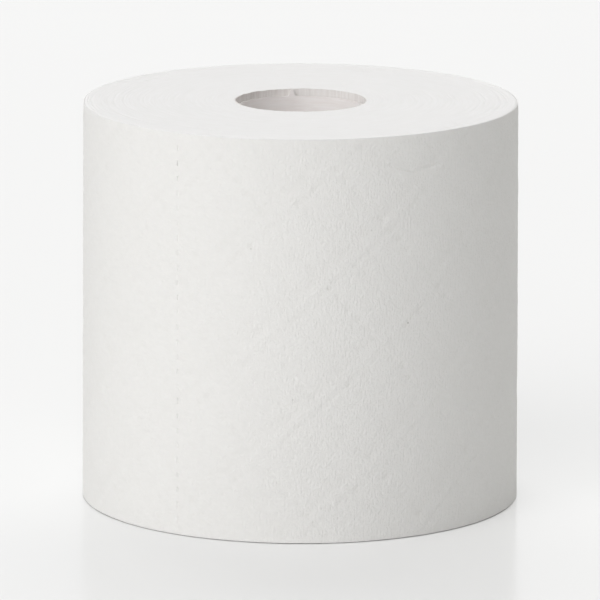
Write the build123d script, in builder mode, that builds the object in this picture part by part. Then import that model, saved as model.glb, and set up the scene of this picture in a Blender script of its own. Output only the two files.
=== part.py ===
from build123d import *
from math import degrees, pi, sqrt
import os

# A toilet paper roll that stands on its end: one long sheet, wound in a
# spiral round a glued card tube. +Z is the roll's axis. The origin is on that
# axis, in the plane that the roll stands on, and the front is towards -Y.
# Lengths are millimetres. Angles are degrees, turning from +X towards +Y.

# The wound paper
roll_height = 114.0
roll_radius = 61.8  # to the outside of the last sheet, at the top
foot_flare = 0.6  # how much larger that radius is at the foot
rim_wear = 1.0  # how far in the outer corner of each end is worn
rim_wear_height = 0.8
sheet_thickness = 0.25
sheet_end_angle = 99.2  # the sheet ends behind the roll

# The card tube
paper_bore_radius = 18.35
tube_slack = 0.1  # how loosely the first turn lies round the tube
tube_wall = 0.5  # two plies of card, glued
tube_recess = 2.0  # how far the tube stops short of each end of the paper

# The turns, which show on each end as one spiral line
turns_shown = 4
turn_line_width = 0.5
turn_line_depth = 0.3
plain_at_bore = 4.0
plain_at_rim = 4.0

# The perforations, where the next sheets tear off
sheet_length = 120.0
slit_spacing = 4.2
slit_length = 1.7

# Sizes that follow
foot_radius = roll_radius + foot_flare
side_height = roll_height - 2 * rim_wear_height
tube_radius = paper_bore_radius - tube_slack
tube_bore_radius = tube_radius - tube_wall
tube_length = roll_height - 2 * tube_recess
rows_in_last_turn = int(2 * pi * roll_radius / sheet_length)
slits_in_row = int(side_height / slit_spacing)


def spiral(first_radius, pitch, quarters):
    """Quarter arcs that run smoothly into each other, from the angle where the
    sheet ends. Each arc is a quarter of the pitch larger than the last, and
    their centres are the corners of a small square."""
    growth = pitch / 4
    corners = ((-1, 1), (-1, -1), (1, -1), (1, 1))
    arcs = []
    for quarter in range(quarters):
        centre = Vector(*corners[quarter % 4]) * growth / 2
        radius = first_radius + growth * (quarter + 0.5)
        start = sheet_end_angle + 90 * quarter
        arcs.append(CenterArc(centre.rotate(Axis.Z, sheet_end_angle), radius, start, 90))
    return arcs


def paper_outline(height, last_radius):
    """The wound paper's section: its last turn grows by one sheet and drops
    back where the sheet ends."""
    with BuildSketch(Plane.XY.offset(height)) as section:
        with BuildLine():
            arcs = spiral(last_radius - sheet_thickness, sheet_thickness, 4)
            Line(arcs[-1] @ 1, arcs[0] @ 0)
        make_face()
    return section.sketch.face()


def turn_line(height):
    """The spiral line between turns, as it shows on one end."""
    first_radius = paper_bore_radius + plain_at_bore
    last_radius = roll_radius - plain_at_rim - turn_line_width
    pitch = (last_radius - first_radius) / turns_shown
    with BuildSketch(Plane.XY.offset(height)) as line:
        with BuildLine():
            inner = spiral(first_radius, pitch, 4 * turns_shown)
            outer = spiral(first_radius + turn_line_width, pitch, 4 * turns_shown)
            Line(inner[0] @ 0, outer[0] @ 0)
            Line(inner[-1] @ 1, outer[-1] @ 1)
        make_face()
    return line.sketch


def slit_places(row):
    """Where one row of perforations goes through the last sheet, counted back
    from the sheet's end."""
    back = degrees(row * sheet_length / roll_radius)
    angle = sheet_end_angle - back
    top_radius = roll_radius - sheet_thickness * back / 360
    for slit in range(slits_in_row):
        above_middle = slit_spacing * (slit - (slits_in_row - 1) / 2)
        height = roll_height / 2 + above_middle
        radius = top_radius + foot_flare * (0.5 - above_middle / side_height)
        yield Location(Vector(radius, 0, height).rotate(Axis.Z, angle), (0, 0, angle + 45))


# The wound paper
with BuildPart() as paper_roll:
    # Its side flares to the foot, and the corner of each end is worn
    sections = [
        paper_outline(0, foot_radius - rim_wear),
        paper_outline(rim_wear_height, foot_radius),
        paper_outline(roll_height - rim_wear_height, roll_radius),
        paper_outline(roll_height, roll_radius - rim_wear),
    ]
    loft(sections, ruled=True)
    Hole(radius=paper_bore_radius)
    extrude(turn_line(0), amount=turn_line_depth, mode=Mode.SUBTRACT)
    extrude(turn_line(roll_height), amount=-turn_line_depth, mode=Mode.SUBTRACT)

    # Each perforation is a nick as deep as the sheet, cut by a square bar's edge
    nick_side = sheet_thickness * sqrt(2)
    for row in range(1, rows_in_last_turn + 1):
        with Locations(*slit_places(row)):
            Box(nick_side, nick_side, slit_length, mode=Mode.SUBTRACT)

# The card tube
with BuildPart() as core_tube:
    with BuildSketch(Plane.XY.offset(tube_recess)):
        Circle(tube_radius)
        Circle(tube_bore_radius, mode=Mode.SUBTRACT)
    extrude(amount=tube_length)

paper_roll.part.label = "paper_roll"
core_tube.part.label = "core_tube"
os.makedirs("parts", exist_ok=True)
export_step(paper_roll.part, "parts/paper_roll.step")
export_step(core_tube.part, "parts/core_tube.step")
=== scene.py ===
# %% [markdown]
# # A toilet paper roll
# A roll of toilet paper is one long sheet of soft two-ply tissue, pressed with
# rows of small dots, perforated every sheet, and wound on a tube of grey card.
# This lesson builds it from what the eye meets: the last turn, the two wound
# ends and the tube. It then gives the tissue and the card their finishes, sets
# the roll on a glossy floor and lights it softly.
#
# We start by loading the part's own solids as a frame, so that every piece can
# take its place from them. Lengths in this script are millimetres until a
# helper turns them into metres.

# %% Load the frame
from math import cos, exp, pi, radians, sin, sqrt, tau

import bmesh
import bpy
from mathutils import Matrix, Vector, noise


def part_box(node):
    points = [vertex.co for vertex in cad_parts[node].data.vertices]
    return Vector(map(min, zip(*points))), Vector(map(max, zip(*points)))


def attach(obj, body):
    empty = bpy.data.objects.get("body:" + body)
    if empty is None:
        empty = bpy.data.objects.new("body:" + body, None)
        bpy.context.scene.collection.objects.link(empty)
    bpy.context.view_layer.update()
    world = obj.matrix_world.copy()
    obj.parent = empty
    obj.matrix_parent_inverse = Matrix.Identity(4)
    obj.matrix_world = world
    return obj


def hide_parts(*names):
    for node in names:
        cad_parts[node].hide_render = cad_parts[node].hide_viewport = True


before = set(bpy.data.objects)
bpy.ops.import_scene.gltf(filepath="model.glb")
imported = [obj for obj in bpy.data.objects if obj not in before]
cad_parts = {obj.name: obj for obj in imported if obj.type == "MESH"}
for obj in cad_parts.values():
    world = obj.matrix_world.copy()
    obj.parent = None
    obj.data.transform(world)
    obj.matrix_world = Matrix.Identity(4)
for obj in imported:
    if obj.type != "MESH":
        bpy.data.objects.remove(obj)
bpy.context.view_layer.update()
mm = 0.001

# %% [markdown]
# The roll's sizes are the same as in the solids. The roll stands on its end
# with its axis on Z. Its side is a little wider at the foot, and the corners of
# both ends are worn round.

# %% Sizes of the roll
roll_height = 114.0
roll_radius = 61.8  # to the outside of the last sheet, at the top
foot_flare = 0.6  # how much larger that radius is at the foot
paper_bore_radius = 18.35
sheet_step = 0.25  # how much the radius grows in one turn
sheet_end = radians(99.2)  # the angle at which the sheet ends, at the back
around = 2 * pi * roll_radius  # the length of the last turn
sheet_end_along = (sheet_end + pi / 2) * roll_radius
print(f"the last turn is {around:.0f} mm long")


def radius_at(angle, height):
    """The solid's outer radius at an angle up to the sheet's end."""
    back = (sheet_end - angle) / tau
    return roll_radius - sheet_step * back + foot_flare * (1 - height / roll_height)


# %% [markdown]
# Tissue is embossed between steel rollers before it is wound. Here the rollers
# leave two crossing families of dotted lines, which make a pattern of large
# diamonds. A dot is only about two millimetres wide, so the sheet needs a mesh
# line on each dot, one on each side of it and one between it and the next. We
# could subdivide a plain sheet until it is fine enough, but that wastes most of
# its faces. Instead we make a grid whose own lines run along the dotted lines
# of the pattern, and cut the sheet out of it. Places on the flat sheet are
# (along, up): along is measured from the front of the roll, and up from its
# foot.

# %% The embossed pattern as a grid
diamond_rising = Vector((17.50, 15.76))  # one cell's side, up to the right
diamond_falling = Vector((15.63, -17.68))  # the other one, down to the right
diamond_corner = Vector((10.3, 105.6))  # where two dotted lines cross
cell_side = diamond_rising.length
dots_along_rising, dots_along_falling = 8, 6
dot_radius = 1.15


def mesh_lines(dots, extra):
    """Where the mesh lines cross one side of a cell, from 0 to 1."""
    pitch = cell_side / dots
    beside_dot = (0, dot_radius / 2, -dot_radius / 2, pitch / 2)
    lines = [dot * pitch + beside for dot in range(dots) for beside in beside_dot]
    return sorted(line % cell_side / cell_side for line in lines + extra)


lines_along_rising = mesh_lines(dots_along_rising, [])
lines_along_falling = mesh_lines(dots_along_falling, [dot_radius, -dot_radius])
print(len(lines_along_rising), "by", len(lines_along_falling), "mesh lines in a cell")


# %% Places on the pattern
def to_cell(along, up):
    """A place on the flat sheet, as a number of cells each way."""
    place = Vector((along, up)) - diamond_corner
    area = diamond_rising.cross(diamond_falling)
    return place.cross(diamond_falling) / area, diamond_rising.cross(place) / area


def whole_range(values):
    """The whole numbers that enclose the values, with one to spare."""
    low, high = min(values), max(values)
    return int(low // 1) - 1, int(high // 1) + 2


tuck = 6.0  # how far the turn's first edge goes under the sheet's end
sheet_left = sheet_end_along - around - tuck
sheet_top, sheet_foot = 113.65, 0.3
corners = [to_cell(a, u) for a in (sheet_left, sheet_end_along) for u in (0, roll_height)]
rising_from, rising_to = whole_range([c[0] for c in corners])
falling_from, falling_to = whole_range([c[1] for c in corners])
print(rising_to - rising_from, "by", falling_to - falling_from, "cells cover the sheet")

# %% Make the flat grid
across = (rising_to - rising_from) * len(lines_along_rising)
down = (falling_to - falling_from) * len(lines_along_falling)
last_turn = bmesh.new()
bmesh.ops.create_grid(last_turn, x_segments=across, y_segments=down, size=0.5)
print("flat grid", len(last_turn.verts), "points")


# %% [markdown]
# Each point now gets its place on the flat sheet, and its depth. The roller's
# teeth push the dots in, most where the two kinds of line cross. Soft tissue
# springs back unevenly, so some dots stay deep, others fade, and they stray a
# little from their line. Beside each rising line the paper is left with a long
# shallow groove and a low ridge, and two fainter grooves run beside each falling
# line. Fine puckers are uneven all over.

# %% The roller's teeth
def tooth(distance):
    """How far a tooth presses at a distance from its middle: 1, then less."""
    return 0.5 + 0.5 * cos(pi * min(1, abs(distance) / dot_radius))


def to_line(share, line):
    """From a share of a cell's side to the nearest line of one kind, in mm."""
    return ((share - line + 0.5) % 1 - 0.5) * cell_side


def to_dot(share, dots):
    """From a share of a cell's side to the nearest dot on it, in mm."""
    return ((share * dots + 0.5) % 1 - 0.5) * cell_side / dots


def swell(distance, width):
    """A smooth rise across a line: 1 on the line, then less."""
    return exp(-((distance / width) ** 2))


print(f"a dot is {2 * dot_radius:.1f} mm wide")

# %% The depth of the embossed paper
strong_dot, weak_dot, puckers = 0.17, 0.15, 0.055  # how deep the dots and the puckers are
groove_depth, ridge_height, faint_groove_depth = 0.06, 0.06, 0.05
groove_line, ridge_line = -0.19, -0.085  # where they cross a cell's side
faint_lines = (0.4375, 0.632)  # where the fainter falling grooves cross it


def depth(rising, falling):
    """How far the embossed paper stands out of the plain sheet."""
    pressure = max(0.1, 1 + 1.5 * noise.noise(Vector((rising * 6.3, falling * 6.3, 0.7))))
    stray = 0.035 * noise.noise(Vector((rising * 7, falling * 7, 2.9)))
    crossing = max(swell(to_line(rising, line), 1.7) for line in (0, *faint_lines))
    strong = tooth(to_line(falling, stray)) * tooth(to_dot(rising, dots_along_rising))
    strong *= 0.4 + 0.7 * crossing
    weak = tooth(to_line(rising, stray)) * tooth(to_dot(falling, dots_along_falling))
    out = -pressure * max(strong_dot * strong, weak_dot * weak)
    out += ridge_height * swell(to_line(falling, ridge_line), 1.1)
    out -= groove_depth * swell(to_line(falling, groove_line), 1.9)
    out -= faint_groove_depth * sum(swell(to_line(rising, line), 1.3) for line in faint_lines)
    return out + puckers * noise.noise(Vector((rising * 14, falling * 14, 4.1)))


print(f"where two lines cross, the paper lies {-depth(0, 0):.2f} mm deep")


# %% Press the dots in
def line_at(index, first_cell, lines):
    """The place of a mesh line, in cells, from its number in the grid."""
    cell, line = divmod(index, len(lines))
    return first_cell + cell + lines[line]


margin = 3.0  # points further than this outside the sheet are deleted
far = []
for point in last_turn.verts:
    rising = line_at(round((point.co.x + 0.5) * across), rising_from, lines_along_rising)
    falling = line_at(round((point.co.y + 0.5) * down), falling_from, lines_along_falling)
    place = diamond_corner + diamond_rising * rising + diamond_falling * falling
    beside = sheet_left - margin < place.x < sheet_end_along + margin
    if beside and -margin < place.y < roll_height + margin:
        point.co = (place.x, place.y, depth(rising, falling))
    else:
        far.append(point)
bmesh.ops.delete(last_turn, geom=far, context="VERTS")
print("near the sheet", len(last_turn.verts), "points")

# %% [markdown]
# A rotary knife cuts the web to the roll's width and a perforating blade marks
# off the sheets. Bisecting the grid does the same: four cuts give the sheet its
# edges, and more cuts along each row give every slit its own small faces.

# %% Cut the sheet out
def cut(sheet, geom, place, direction, clear=False):
    """Cuts the geometry by a line on the flat sheet."""
    made = bmesh.ops.bisect_plane(
        sheet, geom=geom, dist=1e-4, plane_co=(*place, 0), plane_no=(*direction, 0), clear_outer=clear
    )
    return made["geom"]


def everything(sheet):
    """All the points, edges and faces of a mesh."""
    return sheet.verts[:] + sheet.edges[:] + sheet.faces[:]


for place, direction in (
    ((sheet_left, 0), (-1, 0)),
    ((sheet_end_along, 0), (1, 0)),
    ((0, sheet_foot), (0, -1)),
    ((0, sheet_top), (0, 1)),
):
    cut(last_turn, everything(last_turn), place, direction, clear=True)
print("cut sheet", len(last_turn.faces), "faces")

# %% The rows of perforations
sheet_length = 120.0
slit_spacing, slit_length, slit_width, slit_depth = 4.2, 1.7, 0.7, 0.27
slit_cuts = (-0.5, -0.38, 0.38, 0.5)  # where each slit is cut across, as shares of its length
slits_in_row = 26
above_middle = [slit - (slits_in_row - 1) / 2 for slit in range(slits_in_row)]
slit_heights = [roll_height / 2 + slit_spacing * steps for steps in above_middle]
rows = [sheet_end_along - sheet_length * k for k in (1, 2, 3)]


def with_parts(faces):
    """Faces together with their edges and points, each of them once."""
    points = dict.fromkeys(point for face in faces for point in face.verts)
    edges = dict.fromkeys(edge for face in faces for edge in face.edges)
    return [*points, *edges, *faces]


def strips(sheet, half):
    """The faces within a distance of any row."""
    near = []
    for face in sheet.faces:
        low = min(point.co.x for point in face.verts)
        high = max(point.co.x for point in face.verts)
        if any(low < row + half and high > row - half for row in rows):
            near.append(face)
    return near


print(len(rows), "rows of", slits_in_row, "slits")

# %% Cut the perforations
for row in rows:
    for beside in (-slit_width / 2, 0, slit_width / 2):
        cut(last_turn, with_parts(strips(last_turn, slit_width)), (row + beside, 0), (1, 0))
geom = with_parts(strips(last_turn, slit_width / 2 - 0.01))
for height in slit_heights:
    for share in slit_cuts:
        geom = cut(last_turn, geom, (0, height + share * slit_length), (0, 1))


def from_slit(up):
    """How far a height is from the middle of the nearest slit."""
    return abs((up - slit_heights[0] + slit_spacing / 2) % slit_spacing - slit_spacing / 2)


for point in last_turn.verts:
    on_row = min(abs(point.co.x - row) for row in rows) < 0.02
    if on_row and from_slit(point.co.y) < slit_length * 0.4:
        point.co.z -= slit_depth
print("with its perforations", len(last_turn.faces), "faces")

# %% [markdown]
# Handling leaves its marks on soft paper: a crease near the top, a short pinch
# near the foot, a few dents, and slow waves all over. The crease and the pinch
# are narrower than the mesh is fine, so the faces near them are first cut along
# them.

# %% Cut along the folds
crease = [Vector((25.4, 105.7)), Vector((32.6, 103.4)), Vector((42.1, 104.9))]
pinch = [Vector((54.4, 18.5)), Vector((57.8, 19.4))]
folds = [(start, end) for line in (crease, pinch) for start, end in zip(line, line[1:])]
fold_half_width, fold_depth = 0.5, 0.24


def from_line(place, start, end):
    """How far a place is from a straight stretch."""
    way = end - start
    share = max(0, min(1, (place - start).dot(way) / way.length_squared))
    return (place - start - way * share).length


for start, end in folds:
    way = (end - start).normalized()
    beside = Vector((-way.y, way.x))
    near = [f for f in last_turn.faces if from_line(f.calc_center_median().xy, start, end) < 1.6]
    geom = with_parts(near)
    for away in (-fold_half_width, 0, fold_half_width):
        geom = cut(last_turn, geom, start + beside * away, beside)
print("cut along the folds", len(last_turn.faces), "faces")

# %% Handle the paper
dents = [((-118.0, 74.0), 3.0, 0.22), ((150.0, 33.0), 2.6, 0.25)]  # place, size and depth
slow_wave, quick_wave = 0.10, 0.03


def handled(place):
    """How far handling has moved the paper outwards at a place."""
    wave = slow_wave * noise.noise(Vector((place.x / 34, place.y / 60, 1.7)))
    wave += quick_wave * noise.noise(Vector((place.x / 9, place.y / 15, 5.1)))
    for spot, size, deep in dents:
        wave -= deep * exp(-(((place - Vector(spot)).length / size) ** 2))
    from_fold = min(from_line(place, start, end) for start, end in folds)
    return wave - fold_depth * max(0, 1 - from_fold / fold_half_width)


print(len(dents), "dents and", len(folds), "straight folds")

# %% [markdown]
# The last edge was torn off along its perforation, so it has a small tab
# between each two slits, and it lies a little looser than the rest. The sheet
# also needs a back, to be a closed solid. Solidify would copy each of its dots
# where nobody can see them. So its open edges are extruded by the sheet's
# thickness, and a much coarser grid closes the back.

# %% The torn edge
tab_out, slit_in, tear_raggedness = 0.45, 0.25, 0.3


def torn(up):
    """How far the torn edge stands out at a height: out at a tab, in at a slit."""
    tab = tab_out if from_slit(up) > slit_length / 2 else -slit_in
    return tab + tear_raggedness * noise.noise(Vector((up * 0.9, 3.3, 0)))


print(f"a tab stands out by {torn(slit_heights[0] + slit_spacing / 2):.2f} mm")

# %% Give the sheet its back
sheet_thickness, backing_depth, backing_inset = 0.15, 0.45, 1.0
behind = last_turn.verts.layers.float.new("behind")
rim_edges = [e for e in last_turn.edges if e.is_boundary]
rim = bmesh.ops.extrude_edge_only(last_turn, edges=rim_edges)["geom"]
for point in (g for g in rim if isinstance(g, bmesh.types.BMVert)):
    point[behind] = sheet_thickness
backing_width = sheet_end_along - sheet_left - 2 * backing_inset
backing_height = sheet_top - sheet_foot - 2 * backing_inset
backing = bmesh.ops.create_grid(last_turn, x_segments=160, y_segments=46, size=0.5)["verts"]
for point in backing:
    point[behind] = backing_depth
    along = sheet_left + backing_inset + (point.co.x + 0.5) * backing_width
    up = sheet_foot + backing_inset + (point.co.y + 0.5) * backing_height
    point.co = (along, up, 0)
bmesh.ops.bridge_loops(last_turn, edges=[e for e in last_turn.edges if e.is_boundary])
print("with its back", len(last_turn.faces), "faces")

# %% Keep the flat places
flat_places = last_turn.loops.layers.uv.new("flat_sheet")
painted_shade_share = last_turn.verts.layers.float.new("pressed")
for face in last_turn.faces:
    for corner in face.loops:
        corner[flat_places].uv = corner.vert.co.xy
# The share of a slit's depth at each point, kept for the painted shade in the dots and slits
for point in last_turn.verts:
    point[painted_shade_share] = max(0, min(1, -point.co.z / slit_depth))
print("deepest point", round(min(point.co.z for point in last_turn.verts), 2), "mm")

# %% Roll the sheet up
room = 0.16  # what may stand out of the plain sheet
highest_ridge = 0.10
loose_end = 0.8  # how much of that room the end of the sheet takes up
top_curl, foot_curl = 0.12, 0.04  # how far the cut edges bend in
edge_wave = 0.14  # how far they wave up and down
tuck_depth = 0.22
for point in last_turn.verts:
    along, up, pressed = point.co
    to_edge = min(up - sheet_foot, sheet_top - up)
    to_end = sheet_end_along - along
    out = pressed * (1 - 0.7 * exp(-to_edge))
    out += handled(Vector((along, up))) * (1 - 0.8 * exp(-to_edge / 3))
    out = min(out, highest_ridge)
    out -= top_curl * exp((up - sheet_top) / 0.7)
    out -= foot_curl * exp((sheet_foot - up) / 0.4)
    out += (room - out) * loose_end * exp(-to_end / 5)
    out -= tuck_depth * max(0, 1 - (along - sheet_left) / (tuck + 1)) + point[behind]
    edge_seed = 0 if up < 50 else 9
    wave = edge_wave * noise.noise(Vector((along / 13, edge_seed, 0.5))) * exp(-to_edge / 3)
    along += torn(up) * max(0, 1 - to_end / 1.5)
    angle = along / roll_radius - pi / 2
    radius = radius_at(angle, up) - room + out
    point.co = Vector((radius * cos(angle), radius * sin(angle), up + wave)) * mm
print("rolled up", len(last_turn.verts), "points")

# %% [markdown]
# A helper makes the object from the mesh. It shades every face smooth, but
# keeps true corners sharp.

# %% Make the last turn
def make_piece(bm, name, sharp_corner=40):
    """Turns a bmesh into a smooth-shaded object whose corners stay sharp."""
    for face in bm.faces:
        face.smooth = True
    for edge in bm.edges:
        edge.smooth = len(edge.link_faces) != 2 or edge.calc_face_angle() < radians(sharp_corner)
    mesh = bpy.data.meshes.new(name)
    bm.to_mesh(mesh)
    bm.free()
    piece = bpy.data.objects.new(name, mesh)
    bpy.context.collection.objects.link(piece)
    faces = sum(len(p.vertices) - 2 for p in mesh.polygons)
    print(f"{name}: {faces} triangles")
    return piece


bmesh.ops.recalc_face_normals(last_turn, faces=last_turn.faces)
print("open edges", sum(e.is_boundary for e in last_turn.edges))
last_turn_piece = make_piece(last_turn, "last_turn")

# %% [markdown]
# On each end of the roll the turns show as one fine spiral line. A flat ring
# with rings drawn on it would be simpler, but real turns stand a little higher
# or lower than their neighbours, and that is what catches the light. So each
# end is a grid whose rows follow the spiral: one row on the crest of a turn,
# the next in the dip beside it. After one turn each row meets the next crest,
# and merging the doubles closes the seam. There are about 170 turns in the real
# roll, too fine to show, so two turns are drawn as one.

# %% The spiral of the wound turns
drawn_turns = 87
steps_around = 200
body_radius = 61.42  # up against the last sheet, at the top
drawn_step = (body_radius - paper_bore_radius - 2 * sheet_step) / (drawn_turns - 2)


def turn_radius(turn):
    """The radius after so many turns. The first and last turns grow by one sheet."""
    if turn < 1:
        return paper_bore_radius + sheet_step * turn
    if turn < drawn_turns - 1:
        return paper_bore_radius + sheet_step + drawn_step * (turn - 1)
    return body_radius - sheet_step * (drawn_turns - turn)


print(f"a drawn turn is {drawn_step:.2f} mm thick")

# %% The shape of the wound ends
rim_wear, rim_wear_height = 1.25, 0.8
dip_depth = 0.07  # how far the dip between two turns lies below their crests
uneven, fine_uneven = 0.13, 0.05  # how much lower a turn may stand
worn_at_bore, ragged = 0.05, 0.35  # how much lower the first turns are


def around_noise(angle, turn, along_scale, turn_scale, seed):
    """Seeded noise that runs on smoothly along the spiral."""
    place = (cos(angle) * along_scale + seed, sin(angle) * along_scale, turn * turn_scale)
    return noise.noise(Vector(place))


def below_end(angle, turn, dip, seed):
    """How far a point of the wound end lies below the end's flat plane."""
    radius = turn_radius(turn)
    worn = max(0, 1 - (roll_radius - radius) / rim_wear)
    low = rim_wear_height * (1 - sqrt(1 - worn**2)) + dip * dip_depth
    near_rim = max(0, 1 - (roll_radius - radius) / 12)
    low += uneven * (1 + 1.2 * near_rim) * max(0, around_noise(angle, turn, 1.6, 0.83, seed))
    low += fine_uneven * max(0, around_noise(angle, turn, 9, 0.83, seed + 7))
    at_bore = exp(-(radius - paper_bore_radius) / 0.5)
    return low + at_bore * (worn_at_bore + ragged * max(0, around_noise(angle, turn, 8, 0.3, seed + 3)))


print(f"the last turn is worn {below_end(0, drawn_turns, 0, 0):.2f} mm below the end")

# %% Make two flat ends
rows_in_end = 2 * (drawn_turns - 1)
wound = bmesh.new()
bmesh.ops.create_grid(wound, x_segments=steps_around, y_segments=rows_in_end, size=0.5)
for point in wound.verts:
    step = round((point.co.x + 0.5) * steps_around)
    row = round((point.co.y + 0.5) * rows_in_end)
    point.co = (row / 2 + step / steps_around, step / steps_around * tau + sheet_end, row % 2)
upper_points = wound.verts[:]
copy = bmesh.ops.duplicate(wound, geom=everything(wound))["geom"]
lower_points = [g for g in copy if isinstance(g, bmesh.types.BMVert)]
print("two ends", len(wound.verts), "points")

# %% [markdown]
# Both ends are placed from the same grid, with other seeds, so they differ as
# real ends do. The outer and the inner edges of the two ends are then bridged,
# which makes the wound paper one closed solid. The paper's own wall shows only
# in a narrow band of the bore, above the recessed tube.

# %% Place both ends
grain_places = wound.loops.layers.uv.new("turn_places")
for face in wound.faces:
    for corner in face.loops:
        turn, angle, dip = corner.vert.co
        corner[grain_places].uv = (angle * turn_radius(turn), turn_radius(turn))

for points, lower in ((upper_points, False), (lower_points, True)):
    for point in points:
        turn, angle, dip = point.co
        radius = turn_radius(turn)
        low = below_end(angle, turn, dip, 20.0 if lower else 0.0)
        if lower:
            share = (radius - paper_bore_radius) / (body_radius - paper_bore_radius)
            radius += foot_flare * share
        height = low if lower else roll_height - low
        point.co = Vector((radius * cos(angle), radius * sin(angle), height)) * mm
bmesh.ops.remove_doubles(wound, verts=wound.verts, dist=1e-6)
print("both ends", len(wound.faces), "faces")


# %% Close the wound turns
def open_edges(bm, inner):
    """The open edges of both ends, at the bore or at the rim."""
    middle = (paper_bore_radius + body_radius) / 2 * mm
    return [e for e in bm.edges if e.is_boundary and (e.verts[0].co.xy.length < middle) == inner]


wall_cuts = (0.9, 1.8, 4, roll_height - 4, roll_height - 1.8, roll_height - 0.9)
for inner in (True, False):
    walls = bmesh.ops.bridge_loops(wound, edges=open_edges(wound, inner))["faces"]
    print("bore" if inner else "side", len(walls), "faces")
    geom = with_parts(walls)
    for height in wall_cuts:
        geom = bmesh.ops.bisect_plane(
            wound, geom=geom, dist=1e-6, plane_co=(0, 0, height * mm), plane_no=(0, 0, 1)
        )["geom"]

# %% Draw the hidden side in and fray the bore
drawn_in, fray_width = 0.6, 0.3
shown_side, shown_bore = 1.5, 1.2  # how far from an end the walls can be seen
for point in wound.verts:
    radius, height = point.co.xy.length / mm, point.co.z / mm
    from_end = min(height, roll_height - height)
    if radius > 55 and from_end > shown_side:
        point.co.xy *= 1 - drawn_in / radius
    elif radius < paper_bore_radius + 0.2 and from_end < shown_bore:
        seed = 0.4 if height > 9 else 7.4  # the two ends fray differently
        place = Vector((point.co.x / mm * 0.8, point.co.y / mm * 0.8, seed))
        point.co.xy *= 1 + fray_width * noise.noise(place) / radius
bmesh.ops.recalc_face_normals(wound, faces=wound.faces)
wound_piece = make_piece(wound, "wound_turns", sharp_corner=50)

# %% [markdown]
# The tube is two strips of grey card, wound in a helix and glued over each
# other. Inside, the edges of the inner strip don't quite meet, and leave a
# narrow joint that climbs round the bore. A plain tube is one spin, but the
# joint would then cut across its faces. So the wall is a grid whose columns
# lean as the strip does, and one narrow column is pushed in by the strip's
# thickness. The tube was cut off by a blade, so its rims are a little uneven.

# %% The inside of the card tube
tube_low, tube_high = (corner.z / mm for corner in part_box("core_tube"))
tube_outside, tube_inside = 18.25, 17.75
ply_thickness = 0.2
joint_width = 0.5
joint_at_rim = radians(-90)
rim_unevenness, wall_bumps = 0.3, 0.04
lifted_at = radians(98)  # where a corner of card stands up from the rim
lifted_height, lifted_half_angle = 1.7, 0.045
strip_climb = 1.15  # how far the strip climbs for each mm round the bore
columns, levels = 180, 64
plain_columns = columns - 3
half_joint = joint_width / 2 / tube_inside
joint_side = half_joint * 0.2  # the joint's walls lean by this angle


def column_place(column):
    """A column's angle from the middle of the joint, and whether it is sunk."""
    if column <= plain_columns:
        return half_joint + (tau - 2 * half_joint) * column / plain_columns, False
    in_joint = (tau - half_joint + joint_side, tau + half_joint - joint_side, tau + half_joint)
    return in_joint[column - plain_columns - 1], column < columns


tube = bmesh.new()
bmesh.ops.create_grid(tube, x_segments=columns, y_segments=levels, size=0.5)
print(f"the tube stands from {tube_low:.1f} to {tube_high:.1f} mm")


# %% Wind the strip of card
def rim_noise(angle, seed):
    """Seeded noise that closes on itself round the rim."""
    return noise.noise(Vector((cos(angle) * 5 + seed, sin(angle) * 5, 2.2)))


def rim_level(angle, upper):
    """How high the cut rim of the tube is."""
    if not upper:
        return tube_low + 0.2 * abs(rim_noise(angle, 4))
    from_lifted = (angle - lifted_at + pi) % tau - pi
    lifted = lifted_height * (abs(from_lifted) < lifted_half_angle)
    return tube_high - rim_unevenness * abs(rim_noise(angle, 8)) + lifted


for point in tube.verts:
    turned, sunk = column_place(round((point.co.x + 0.5) * columns))
    share = point.co.y + 0.5
    below_rim = (tube_high - tube_low) * (share - 1)
    angle = joint_at_rim + turned + below_rim / strip_climb / tube_inside
    height = rim_level(angle, False) * (1 - share) + rim_level(angle, True) * share
    place = Vector((cos(angle) * 2, sin(angle) * 2, height / 9))
    wall = tube_inside + wall_bumps * (1 + noise.noise(place)) + ply_thickness * sunk
    point.co = Vector((wall * cos(angle), wall * sin(angle), height)) * mm
bmesh.ops.remove_doubles(tube, verts=tube.verts, dist=1e-6)
print("inner wall", len(tube.faces), "faces")

# %% Close the tube
middle_height = (tube_low + tube_high) / 2 * mm
for upper in (False, True):
    rim = [e for e in tube.edges if e.is_boundary and (e.verts[0].co.z > middle_height) == upper]
    made = bmesh.ops.extrude_edge_only(tube, edges=rim)["geom"]
    for point in (g for g in made if isinstance(g, bmesh.types.BMVert)):
        point.co.xy *= tube_outside * mm / point.co.xy.length
bmesh.ops.bridge_loops(tube, edges=[e for e in tube.edges if e.is_boundary])
bmesh.ops.recalc_face_normals(tube, faces=tube.faces)
tube_piece = make_piece(tube, "card_tube")

# %% [markdown]
# Each new piece rides on the part's one body, and the solids that it dresses
# are hidden. The two pieces of tissue both dress the wound paper.

# %% Join the pieces to the frame
for piece, node, slot in (
    (last_turn_piece, "paper_roll", "tissue"),
    (wound_piece, "paper_roll", "tissue"),
    (tube_piece, "core_tube", "core_card"),
):
    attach(piece, "root")
    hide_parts(node)
print("pieces join the body root")

# %% [markdown]
# Colours are written as the hex values that a paint chart gives, which are
# sRGB. The shaders calculate in linear light, so one function converts them.
# A second one adds a node with its settings and links.

# %% Colour and node helpers
def linear(hex_colour):
    """sRGB hex to linear RGBA."""
    values = [int(hex_colour[start : start + 2], 16) / 255 for start in (0, 2, 4)]
    return (*[v / 12.92 if v <= 0.04045 else ((v + 0.055) / 1.055) ** 2.4 for v in values], 1)


def add_node(material, kind, inputs=None, **settings):
    """Adds a node. An input is a value or another node's output."""
    tree = material.node_tree
    node = tree.nodes.new("ShaderNode" + kind)
    for name, value in settings.items():
        setattr(node, name, value)
    for socket, value in (inputs or {}).items():
        if isinstance(value, bpy.types.NodeSocket):
            tree.links.new(value, node.inputs[socket])
        else:
            node.inputs[socket].default_value = value
    return node


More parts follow.
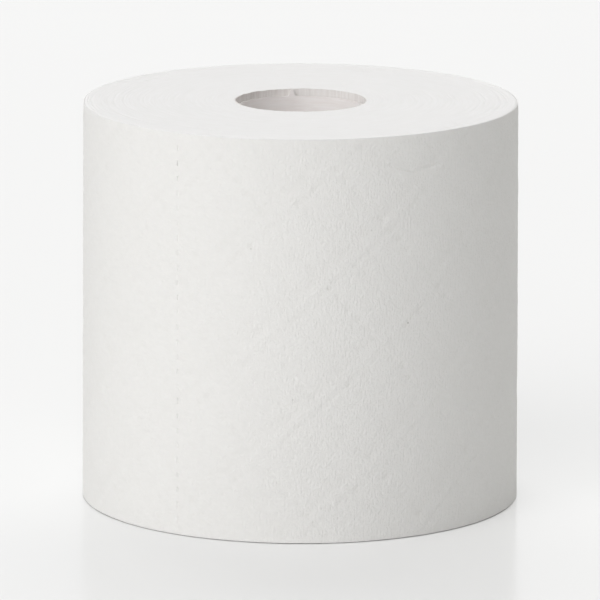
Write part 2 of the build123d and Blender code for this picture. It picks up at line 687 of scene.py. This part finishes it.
def new_material(name, colour, roughness, ior=1.5):
    """A material and its shader, to which the caller adds the rest."""
    material = bpy.data.materials.new(name)
    material.use_nodes = True
    shader = material.node_tree.nodes["Principled BSDF"]
    shader.inputs["Base Color"].default_value = linear(colour)
    shader.inputs["Roughness"].default_value = roughness
    shader.inputs["IOR"].default_value = ior
    return material, shader


print("mid grey 808080 is", round(linear("808080")[0], 3), "in linear light")

# %% [markdown]
# Toilet tissue is creped: a blade scrapes the wet web off a hot cylinder, which
# folds it into tiny ridges that run along the roll's axis. Two plies of it are
# bleached pulp of soft, matt, slightly warm white, with a loose dark fibre here
# and there. The crepe is about a quarter of a millimetre, too fine to show, so
# it is drawn twice as coarse. The pattern follows the sheet through its UV map,
# which holds the flat places in millimetres.

# %% Creped two-ply tissue
tissue, shader = new_material("creped_two_ply_tissue", "F1F0EE", 0.95, 1.4)
flat = add_node(tissue, "UVMap", uv_map="flat_sheet").outputs[0]
crepe_places = add_node(tissue, "Mapping", {"Vector": flat, "Scale": (1 / 0.5, 1 / 2.5, 1)}).outputs[0]
crepe = add_node(tissue, "TexNoise", {"Vector": crepe_places, "Scale": 1.0, "Detail": 3.0}).outputs[0]
pulp = add_node(tissue, "TexNoise", {"Vector": flat, "Scale": 1 / 1.6, "Detail": 3.0}).outputs[0]
crinkle = add_node(tissue, "TexNoise", {"Vector": flat, "Scale": 1 / 0.85, "Detail": 2.0}).outputs[0]
relief = add_node(tissue, "Math", {0: crinkle, 1: 1.3, 2: crepe}, operation="MULTIPLY_ADD").outputs[0]
bump = add_node(tissue, "Bump", {"Height": relief, "Strength": 1.0, "Distance": 0.14 * mm}).outputs[0]
tissue.node_tree.links.new(bump, shader.inputs["Normal"])
clouds = add_node(tissue, "MapRange", {"Value": pulp, "From Min": 0.3, "From Max": 0.7}).outputs[0]
print(tissue.name)


# %% Mix a colour in
def mix_colour(material, share, first, second):
    """A mix of two colours: all of the second where the share is 1."""
    return add_node(material, "Mix", {0: share, 6: first, 7: second}, data_type="RGBA").outputs[2]


def paint(material, shader, colour):
    """Gives the shader its colour."""
    material.node_tree.links.new(colour, shader.inputs["Base Color"])


colour = mix_colour(tissue, clouds, linear("F0EFED"), linear("F2F1EF"))
print("the white of the pulp is uneven")

# %% Dark fibres, and painted shade in the dots and slits
# Each fibre is given by its place along and up, and its darkness
left_fibres = [(-161.0, 57.0, 0.4), (-127.0, 88.0, 0.2), (-92.0, 35.0, 0.3), (-13.7, 83.1, 0.24)]
front_fibres = [(-1.9, 40.9, 0.22), (7.9, 71.9, 0.2), (20.1, 88.0, 0.17), (31.2, 61.1, 0.5)]
right_fibres = [(96.0, 52.0, 0.3), (121.0, 91.0, 0.2), (148.0, 24.0, 0.4)]
specks = left_fibres + front_fibres + right_fibres
fibre_size, fibre_core = 0.35, 0.15
fibre = 0.0
for along, up, darkness in specks:
    ends = {0: flat, 1: (along, up, 0)}
    away = add_node(tissue, "VectorMath", ends, operation="DISTANCE").outputs["Value"]
    reach = {"Value": away, "From Min": fibre_size, "From Max": fibre_core, "To Max": darkness}
    here = add_node(tissue, "MapRange", reach).outputs[0]
    fibre = add_node(tissue, "Math", {0: fibre, 1: here}, operation="MAXIMUM").outputs[0]
colour = mix_colour(tissue, fibre, colour, linear("8E8880"))
# Painted shade: the dots and slits are darkened by how deep they are pressed
pressed = add_node(tissue, "Attribute", attribute_name="pressed").outputs["Fac"]
pressed = add_node(tissue, "Math", {0: pressed, 1: 0.14}, operation="MULTIPLY").outputs[0]
paint(tissue, shader, mix_colour(tissue, pressed, colour, linear("D8D5CF")))
last_turn_piece.data.materials.append(tissue)
print(len(specks), "dark fibres")

# %% [markdown]
# On the ends we look at the cut edges of the sheet, a felt of fibres in fine
# lines that follow the turns. The pattern is drawn on a UV map that holds the
# length along the spiral and the radius, so it stretches along the turns.

# %% Cut edges of the tissue
edges, shader = new_material("cut_edges_of_tissue", "F1F0EE", 0.95, 1.4)
places = add_node(edges, "UVMap", uv_map="turn_places").outputs[0]
line_places = add_node(edges, "Mapping", {"Vector": places, "Scale": (1 / 9, 1 / 0.5, 1)}).outputs[0]
lines = add_node(edges, "TexNoise", {"Vector": line_places, "Scale": 1.0, "Detail": 2.0}).outputs[0]
space = add_node(edges, "TexCoord").outputs["Object"]
felt = add_node(edges, "TexNoise", {"Vector": space, "Scale": 1 / (0.5 * mm), "Detail": 2.0}).outputs[0]
relief = add_node(edges, "Math", {0: lines, 1: felt}, operation="ADD").outputs[0]
bump = add_node(edges, "Bump", {"Height": relief, "Strength": 0.4, "Distance": 0.06 * mm}).outputs[0]
edges.node_tree.links.new(bump, shader.inputs["Normal"])
share = add_node(edges, "MapRange", {"Value": lines, "From Min": 0.3, "From Max": 0.7}).outputs[0]
colour = mix_colour(edges, share, linear("F0EFEE"), linear("F4F3F3"))
print(edges.name)

# %% Darker streaks in the bore
# The first turns are darker within a short distance of the bore, in streaks up the bore
streak_scale = (1 / (0.8 * mm), 1 / (0.8 * mm), 1 / (8 * mm))
fray_places = add_node(edges, "Mapping", {"Vector": space, "Scale": streak_scale}).outputs[0]
fray = add_node(edges, "TexNoise", {"Vector": fray_places, "Scale": 1.0, "Detail": 2.0}).outputs[0]
fray = add_node(edges, "MapRange", {"Value": fray, "From Min": 0.35, "From Max": 0.65}).outputs[0]
darker_streaks = mix_colour(edges, fray, linear("E4DFDC"), linear("EFECEA"))
from_axis = add_node(edges, "SeparateXYZ", {0: places}).outputs["Y"]
darker_within = 0.6
reach = {"Value": from_axis, "From Min": paper_bore_radius + darker_within}
reach |= {"From Max": paper_bore_radius + 0.1}
at_bore = add_node(edges, "MapRange", reach).outputs[0]
paint(edges, shader, mix_colour(edges, at_bore, colour, darker_streaks))
wound_piece.data.materials.append(edges)
print("frayed within", darker_within, "mm of the bore")

# %% [markdown]
# The tube is made from recycled paper, so its card is a pale warm grey with
# darker and lighter fibres. The board machine lays most fibres one way, which
# shows as short faint streaks round the bore.

# %% Recycled grey card
card, shader = new_material("recycled_grey_card", "EBE5E2", 0.85, 1.45)
space = add_node(card, "TexCoord").outputs["Object"]
streak_scale = (1 / (6 * mm), 1 / (6 * mm), 1 / (0.6 * mm))
streak_places = add_node(card, "Mapping", {"Vector": space, "Scale": streak_scale}).outputs[0]
streaks = add_node(card, "TexNoise", {"Vector": streak_places, "Scale": 1.0, "Detail": 3.0}).outputs[0]
share = add_node(card, "MapRange", {"Value": streaks, "From Min": 0.3, "From Max": 0.7}).outputs[0]
paint(card, shader, mix_colour(card, share, linear("F3EEEC"), linear("F9F6F5")))
bump = add_node(card, "Bump", {"Height": streaks, "Strength": 0.4, "Distance": 0.05 * mm}).outputs[0]
card.node_tree.links.new(bump, shader.inputs["Normal"])
tube_piece.data.materials.append(card)
print(card.name)

# %% [markdown]
# The roll stands on a glossy white board. A polished board is a plain white
# base under a clear coat that mirrors more the lower we look at it, which is
# what a dielectric shader does by itself. Its slight roughness blurs the
# mirrored roll. To the camera alone it is partly a plain white, so that the
# shadow stays faint without more light on the roll. Under the roll itself it
# keeps its own shade, for a dark line where the foot meets the board. It belongs
# to the stage, not to the part.

# %% Glossy white floor
board, shader = new_material("polished_white_board", "EBEBEA", 0.16)
white = add_node(board, "Emission", {"Color": (1, 1, 1, 1), "Strength": 1.0}).outputs[0]
to_camera = add_node(board, "LightPath").outputs["Is Camera Ray"]
space = add_node(board, "TexCoord").outputs["Object"]
from_axis = add_node(board, "VectorMath", {0: space}, operation="LENGTH").outputs["Value"]
under_roll, beside_roll = 0.05, 0.35
reach = {"Value": from_axis, "From Min": 61.9 * mm, "From Max": 62.4 * mm}
reach |= {"To Min": under_roll, "To Max": beside_roll}
open_board = add_node(board, "MapRange", reach).outputs[0]
share = add_node(board, "Math", {0: to_camera, 1: open_board}, operation="MULTIPLY").outputs[0]
mixed = add_node(board, "MixShader", {0: share, 1: shader.outputs[0], 2: white}).outputs[0]
board.node_tree.links.new(mixed, board.node_tree.nodes["Material Output"].inputs["Surface"])
floor = bmesh.new()
bmesh.ops.create_grid(floor, x_segments=1, y_segments=1, size=15)  # metres, so no edge shows
floor_piece = make_piece(floor, "floor")
floor_piece.data.materials.append(board)

# %% [markdown]
# The world is a white room. It shows as white to the camera and in the floor's
# gloss, but lights the paper only a little, as Light Path tells the rays apart.
# Most of the light comes from four very soft lamps, as from large white cloths:
# a low one on the left, a higher one in front, a weak one behind on the right,
# and a strong one straight behind. The high ones also reach down into the tube.

# %% The world and the lamps
world = bpy.data.worlds.new("white_room")
bpy.context.scene.world = world
world.use_nodes = True
background = world.node_tree.nodes["Background"]
background.inputs["Color"].default_value = (1, 1, 1, 1)
room_light, room_white = 0.21, 1.04
path = add_node(world, "LightPath").outputs
rays = {0: path["Is Camera Ray"], 1: path["Is Glossy Ray"]}
seen = add_node(world, "Math", rays, operation="MAXIMUM").outputs[0]
seen = add_node(world, "Math", {0: seen, 1: path["Is Transmission Ray"]}, operation="MAXIMUM").outputs[0]
levels = {"Value": seen, "To Min": room_light, "To Max": room_white}
strength = add_node(world, "MapRange", levels).outputs[0]
world.node_tree.links.new(strength, background.inputs["Strength"])


def add_lamp(name, azimuth, elevation, level, colour):
    """A soft lamp. Azimuth 0 is the camera's side, and 90 is the right."""
    lamp = bpy.data.lights.new(name, "SUN")
    lamp.energy = level * pi  # level 1 lights white paper fully
    lamp.color = colour
    lamp.angle = radians(50)  # wide, so that its shadows have no edges
    turned, raised = radians(azimuth), radians(elevation)
    towards = Vector((sin(turned) * cos(raised), -cos(turned) * cos(raised), sin(raised)))
    holder = bpy.data.objects.new(name, lamp)
    holder.rotation_euler = towards.to_track_quat("Z", "Y").to_euler()
    holder.visible_glossy = False  # the floor's gloss shows only the white room
    bpy.context.collection.objects.link(holder)


add_lamp("left_light", -55, 12, 0.32, (1.0, 0.998, 0.992))
add_lamp("front_light", -22, 45, 0.40, (1.0, 1.0, 0.998))
add_lamp("right_light", 120, 40, 0.10, (1.0, 0.985, 0.91))
add_lamp("back_light", 180, 45, 0.44, (0.993, 0.998, 1.0))
print(len(bpy.data.lights), "lamps")

# %% [markdown]
# The camera looks down at the roll from almost two metres away through a long
# lens, which keeps the sides of the roll nearly parallel. It was found by
# fitting the outlines of both ends, and it is turned by a sixth of a degree.

# %% The camera
image_size, focal_pixels, sensor_width = 600, 6646.0, 36
camera_back, camera_height = 1851.0, 445.6
pitch, roll = radians(11.883), radians(0.173)
camera_data = bpy.data.cameras.new("camera")
camera_data.sensor_width = sensor_width
camera_data.lens = focal_pixels / image_size * sensor_width
camera_data.clip_end = 60
camera = bpy.data.objects.new("camera", camera_data)
bpy.context.collection.objects.link(camera)
stand = Matrix.Translation(Vector((0, -camera_back, camera_height)) * mm)
look_down = Matrix.Rotation(pi / 2 - pitch, 4, "X")
camera.matrix_world = stand @ look_down @ Matrix.Rotation(roll, 4, "Z")
bpy.context.scene.camera = camera
bpy.context.scene.view_settings.view_transform = "Standard"
print("lens", round(camera_data.lens), "mm")
